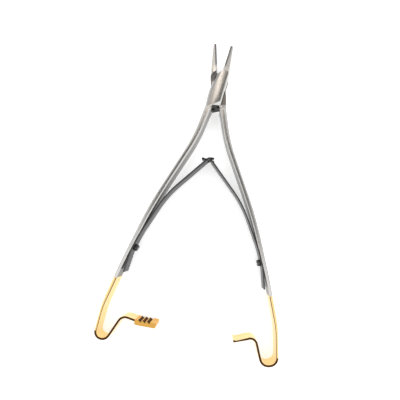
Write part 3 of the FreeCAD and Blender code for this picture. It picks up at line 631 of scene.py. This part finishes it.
def paint_shade_on_faces(half, side):
    """Write each face's painted shade, after splitting the faces where it changes."""
    sizes = bpy.context.scene.needle_plating
    turn = closing(side).to_3x3()
    bend = (sizes.left_bend if side < 0 else sizes.right_bend) * MM
    for spot, way in (
        ((0.0, -sizes.start * MM, 0.0), (0.0, 1.0, 0.0)),
        ((0.0, -bend, 0.0), (0.0, 1.0, 0.0)),
        ((side * sizes.bar * MM, 0.0, 0.0), (1.0, 0.0, 0.0)),
    ):
        split_plated(half, turn, spot, way)
    layer = half.faces.layers.float.new("dark")
    for face in half.faces:
        face[layer] = face_shade(turn @ face.calc_center_median(), turn @ face.normal, side)


def rounded_half(name, side, body, material):
    """Stand-in for a forged half, its edges broken by tumbling as on the real forging."""
    edges = bpy.context.scene.needle_edges
    half = bmesh.new()
    half.from_mesh(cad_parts[name].data)
    bmesh.ops.remove_doubles(half, verts=half.verts[:], dist=edges.merge * MM)
    bmesh.ops.dissolve_limit(
        half, angle_limit=edges.flat, verts=half.verts[:], edges=half.edges[:],
        use_dissolve_boundaries=False)
    regions = (edges.lock * MM, -CAD_BOX[1][1])
    down = -edges.strap * MM
    for region in regions:
        sharp = []
        for edge in half.edges:
            low = min(vert.co.y for vert in edge.verts)
            high = max(vert.co.y for vert in edge.verts)
            is_long = edge.calc_length() > edges.shortest * MM
            if is_long and down <= low and high < -region and edge.calc_face_angle() > edges.sharp:
                sharp.append(edge)
        bmesh.ops.bevel(
            half, geom=sharp, affect="EDGES", offset=edges.radius * MM, segments=edges.segments,
            profile=0.5, material=-1, clamp_overlap=True)
        down = -region
    for edge in half.edges:
        edge.smooth = edge.calc_face_angle(0.0) < edges.crisp
    for face in half.faces:
        face.smooth = True
    # Painted shade: walls, bevels, recesses, gullets and hook edges get darker colour in the dark
    # layer.
    paint_shade_on_faces(half, side)
    stand_in(name, "_forging", half, body, material)


def stand_in(name, ending, mesh_data, body, material):
    """Finish a piece that takes the place of a CAD node and moves with its body."""
    piece = finished_piece(name + ending, mesh_data, material)
    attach(piece, body)
    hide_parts(name)


def closing(side):
    """Matrix that turns a piece of a half to where it stands when the jaws are closed."""
    return Matrix.Rotation(-side * bpy.context.scene.needle_plating.spread, 4, "Z")


def closed_copy(name, side):
    """Merged copy of a CAD piece as it stands when the jaws are closed."""
    copy = bmesh.new()
    copy.from_mesh(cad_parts[name].data)
    bmesh.ops.remove_doubles(copy, verts=copy.verts[:], dist=1e-6)
    bmesh.ops.transform(copy, matrix=closing(side), verts=copy.verts)
    return copy


def sliced(piece, axis, start, step):
    """Cut a piece into slices along an axis and give back their number."""
    places = [vert.co[axis] for vert in piece.verts]
    count = int((max(places) - start) / step)
    way = Vector((0.0, 0.0, 0.0))
    way[axis] = 1.0
    for index in range(1, count + 1):
        geometry = piece.verts[:] + piece.edges[:] + piece.faces[:]
        bmesh.ops.bisect_plane(
            piece, geom=geometry, dist=1e-7, plane_co=way * (start + index * step), plane_no=way)
    return count


def serrated_insert(name, side, body, material):
    """Stand-in for the insert in the jaw opposite to this side's arm, cut crosswise in grooves."""
    sizes = bpy.context.scene.needle_inserts
    insert = closed_copy(name, side)
    heel = min(vert.co.y for vert in insert.verts)
    grip = min(-side * vert.co.x for vert in insert.verts)
    step = sizes.pitch * MM / 2
    sliced(insert, 1, heel, step)
    for vert in insert.verts:
        number = (vert.co.y - heel) / step
        is_cut = abs(number - round(number)) < 0.01 and round(number) % 2 == 1
        if is_cut and -side * vert.co.x < grip + 0.02 * MM:
            vert.co.x -= side * sizes.depth * MM
    bmesh.ops.transform(insert, matrix=closing(side).inverted(), verts=insert.verts)
    stand_in(name, "_serrated", insert, body, material)


def crowned_pin(material):
    """Stand-in for the pin, its ends ground to the crown of the cheeks that it is riveted in."""
    sizes = bpy.context.scene.needle_edges
    pin = closed_copy("pivot_pin", -1)
    lowest, highest = CAD_BOX
    middle = (lowest[2] + highest[2]) / 2
    reach = max(vert.co.x for vert in pin.verts)
    sliced(pin, 0, -reach, reach / sizes.pin_slices)
    for vert in pin.verts:
        drop = vert.co.x ** 2 / (2 * sizes.crown * MM)
        vert.co.z += drop if vert.co.z < middle else -drop
    for face in pin.faces:
        face.smooth = True
    for edge in pin.edges:
        edge.smooth = edge.calc_face_angle(0.0) < sizes.sharp
    # The pin's layer of painted shade stays at 0.
    pin.faces.layers.float.new("dark")
    bmesh.ops.transform(pin, matrix=closing(-1).inverted(), verts=pin.verts)
    stand_in("pivot_pin", "_crowned", pin, BOX_SIDE, material)


class NEEDLE_OT_finish_halves(bpy.types.Operator):
    """Give both forged halves and the pin their ground steel and gold plating"""

    bl_idname = "needle.finish_halves"
    bl_label = "Finish Halves"

    def execute(self, context):
        spread = context.scene.needle_plating.spread
        steel = half_finish("left_arm_steel", -spread)
        rounded_half("box_half", -1, BOX_SIDE, steel)
        crowned_pin(steel)
        steel = half_finish("right_arm_steel", spread)
        rounded_half("through_half", 1, THROUGH_SIDE, steel)
        return {"FINISHED"}


class NEEDLE_OT_finish_inserts(bpy.types.Operator):
    """Give the jaw inserts their serrated faces and their ground carbide"""

    bl_idname = "needle.finish_inserts"
    bl_label = "Finish Inserts"

    def execute(self, context):
        carbide = carbide_finish()
        serrated_insert("right_insert", -1, BOX_SIDE, carbide)
        serrated_insert("left_insert", 1, THROUGH_SIDE, carbide)
        return {"FINISHED"}


class NEEDLE_OT_make_springs(bpy.types.Operator):
    """Make the two leaf springs, as they stand with the jaws open"""

    bl_idname = "needle.make_springs"
    bl_label = "Make Springs"

    def execute(self, context):
        sizes = context.scene.needle_springs
        for name, side, own, other in (
            ("fork_spring", -1, BOX_SIDE, THROUGH_SIDE),
            ("tongue_spring", 1, THROUGH_SIDE, BOX_SIDE),
        ):
            forked = name == "fork_spring"
            material = leaf_finish(name + "_steel", side * sizes.lean)
            piece, line = make_leaf(name + "_leaf", side, forked, material)
            tip, heading = line.at(line.length)
            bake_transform(piece)
            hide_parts(name)
        return {"FINISHED"}


class NEEDLE_OT_finish_screws(bpy.types.Operator):
    """Give the screws of the springs their turned steel"""

    bl_idname = "needle.finish_screws"
    bl_label = "Finish Screws"

    def execute(self, context):
        steel = screw_finish()
        dress("left_spring_screw", steel)
        dress("right_spring_screw", steel)
        return {"FINISHED"}


def seen_white(tree):
    """A wire that is 1 for what is seen straight, in a reflection or through glass."""
    path = tree.nodes.new("ShaderNodeLightPath")
    rays = ("Is Camera Ray", "Is Glossy Ray", "Is Transmission Ray")
    camera, glossy, through = [Wire(tree, path.outputs[name]) for name in rays]
    return camera + glossy + through


def make_table(settings):
    """White table top under the instrument, which keeps its shadows."""
    top = bmesh.new()
    bmesh.ops.create_grid(
        top, x_segments=1, y_segments=1, size=settings.table_size * MM)
    bmesh.ops.translate(
        top, vec=(0, 0, CAD_BOX[0][2] - settings.table_gap * MM), verts=top.verts)
    mesh = bpy.data.meshes.new("table_top")
    top.to_mesh(mesh)
    top.free()
    finish = Finish("white_table", colour(settings.table), 0.75, metallic=0.0)
    dark = (0.0, 0.0, 0.0, 1.0)
    white = (1.0, 1.0, 1.0, 1.0)
    finish.set("Emission Color", finish.mix(seen_white(finish.tree), dark, white))
    finish.set("Emission Strength", settings.lift)
    mesh.materials.append(finish.material)
    table = bpy.data.objects.new("table_top", mesh)
    bpy.context.scene.collection.objects.link(table)


def make_room(room, tilt):
    """Light tent: bright all round, dark at the horizon and where the camera hides it."""
    world = bpy.data.worlds.new("light_tent")
    bpy.context.scene.world = world
    world.use_nodes = True
    tree = world.node_tree
    node = tree.nodes.new("ShaderNodeTexCoord")
    place = Wire(tree, node.outputs["Generated"])
    across, ahead, height = [
        place.node("ShaderNodeSeparateXYZ", None, {"Vector": place}, output=axis)
        for axis in ("X", "Y", "Z")]
    beside = across.reckon("ABSOLUTE", across)
    sides = beside.clamped(room.sides_from, room.sides_to) * room.sides
    low = room.horizon + sides + ahead.clamped(room.ahead_from, room.ahead_to) * room.ahead
    above = (height + beside * room.overhead_side).clamped(room.overhead_from, room.overhead_to)
    tent = low + (room.overhead - low) * above
    lean = sin(room.patch_lean)
    towards = (-lean * sin(tilt), lean * cos(tilt), cos(room.patch_lean))
    nearness = place.node(
        "ShaderNodeVectorMath", {"operation": "DOT_PRODUCT"}, {0: place, 1: towards},
        output="Value")
    hidden = nearness.clamped(
        cos(room.patch_size * (1 + room.patch_rim)), cos(room.patch_size * (1 - room.patch_rim)))
    foot = height.clamped(cos(room.foot_from), cos(room.foot_to))
    sideways = across + ahead * tan(tilt)
    off_strip = sideways.reckon("ABSOLUTE", sideways).clamped(room.strip_from, room.strip_to)
    on_right = sideways.clamped(room.right_from, room.right_to)
    foot_level = room.foot + (1.0 - off_strip) * room.strip
    foot_level += (room.foot_right - room.foot) * on_right
    patch = room.patch + (foot_level - room.patch) * foot
    background = tree.nodes["Background"]
    white = (1.0, 1.0, 1.0, 1.0)
    feed(tree, mixed(tree, foot * hidden, white, colour(room.foot_tint)),
         background.inputs["Color"])
    feed(tree, tent + (patch - tent) * hidden, background.inputs["Strength"])


def add_lamp(settings):
    """Square soft lamp beyond the jaws, kept out of what the metal mirrors."""
    lamp = bpy.data.lights.new("overhead", "AREA")
    lamp.size = settings.lamp_size * MM
    lamp.energy = settings.lamp_power
    holder = bpy.data.objects.new("overhead", lamp)
    place = Vector((0.0, settings.lamp_ahead * MM, settings.lamp_height * MM))
    aim = Vector((0.0, -settings.lamp_aim * MM, 0.0))
    holder.location = place
    holder.rotation_euler = (aim - place).to_track_quat("-Z", "Y").to_euler()
    holder.visible_glossy = False
    bpy.context.scene.collection.objects.link(holder)


def add_camera(settings):
    """Camera straight above, placed from the pivot and the nadir in the photograph."""
    camera = bpy.data.cameras.new("camera")
    camera.sensor_width = 36.0
    camera.lens = camera.sensor_width * settings.scale * settings.height / settings.image
    centre = settings.image / 2
    camera.shift_x = (centre - settings.nadir_x) / settings.image
    camera.shift_y = (settings.nadir_y - centre) / settings.image
    camera.clip_start = 10 * MM
    camera.clip_end = 10.0
    holder = bpy.data.objects.new("camera", camera)
    bpy.context.scene.collection.objects.link(holder)
    right = (settings.nadir_x - settings.pivot_x) / settings.scale
    down = (settings.nadir_y - settings.pivot_y) / settings.scale
    tilt = settings.tilt
    front = CAD_BOX[1][2]
    holder.location = (
        (right * cos(tilt) + down * sin(tilt)) * MM,
        (right * sin(tilt) - down * cos(tilt)) * MM,
        front + settings.height * MM,
    )
    holder.rotation_euler = (0.0, 0.0, tilt)
    bpy.context.scene.camera = holder


class NEEDLE_OT_set_stage(bpy.types.Operator):
    """Set the white table, the soft light and the camera"""

    bl_idname = "needle.set_stage"
    bl_label = "Set Stage"

    def execute(self, context):
        settings = context.scene.needle_stage
        make_table(settings)
        make_room(context.scene.needle_room, settings.tilt)
        add_lamp(settings)
        add_camera(settings)
        context.scene.view_settings.view_transform = "Standard"
        return {"FINISHED"}


OPERATORS = (
    NEEDLE_OT_finish_halves,
    NEEDLE_OT_finish_inserts,
    NEEDLE_OT_make_springs,
    NEEDLE_OT_finish_screws,
    NEEDLE_OT_set_stage,
)


class NEEDLE_PT_panel(bpy.types.Panel):
    """Steps that dress the needle holder"""

    bl_idname = "NEEDLE_PT_panel"
    bl_label = "Needle Holder"
    bl_space_type = "VIEW_3D"
    bl_region_type = "UI"
    bl_category = "Needle Holder"

    def draw(self, context):
        for operator in OPERATORS:
            self.layout.operator(operator.bl_idname)


SETTINGS = (
    ("needle_springs", SpringSizes),
    ("needle_inserts", InsertSizes),
    ("needle_edges", EdgeSizes),
    ("needle_plating", PlatingSizes),
    ("needle_marks", PaintedShade),
    ("needle_metals", MetalColours),
    ("needle_room", RoomSettings),
    ("needle_stage", StageSettings),
)


def register():
    for name, group in SETTINGS:
        bpy.utils.register_class(group)
        setattr(bpy.types.Scene, name, PointerProperty(type=group))
    for item in OPERATORS + (NEEDLE_PT_panel,):
        bpy.utils.register_class(item)


def unregister():
    for item in reversed(OPERATORS + (NEEDLE_PT_panel,)):
        bpy.utils.unregister_class(item)
    for name, group in reversed(SETTINGS):
        delattr(bpy.types.Scene, name)
        bpy.utils.unregister_class(group)


def main():
    register()
    bpy.ops.needle.finish_halves()
    bpy.ops.needle.finish_inserts()
    bpy.ops.needle.make_springs()
    bpy.ops.needle.finish_screws()
    bpy.ops.needle.set_stage()


if __name__ == "__main__":
    main()
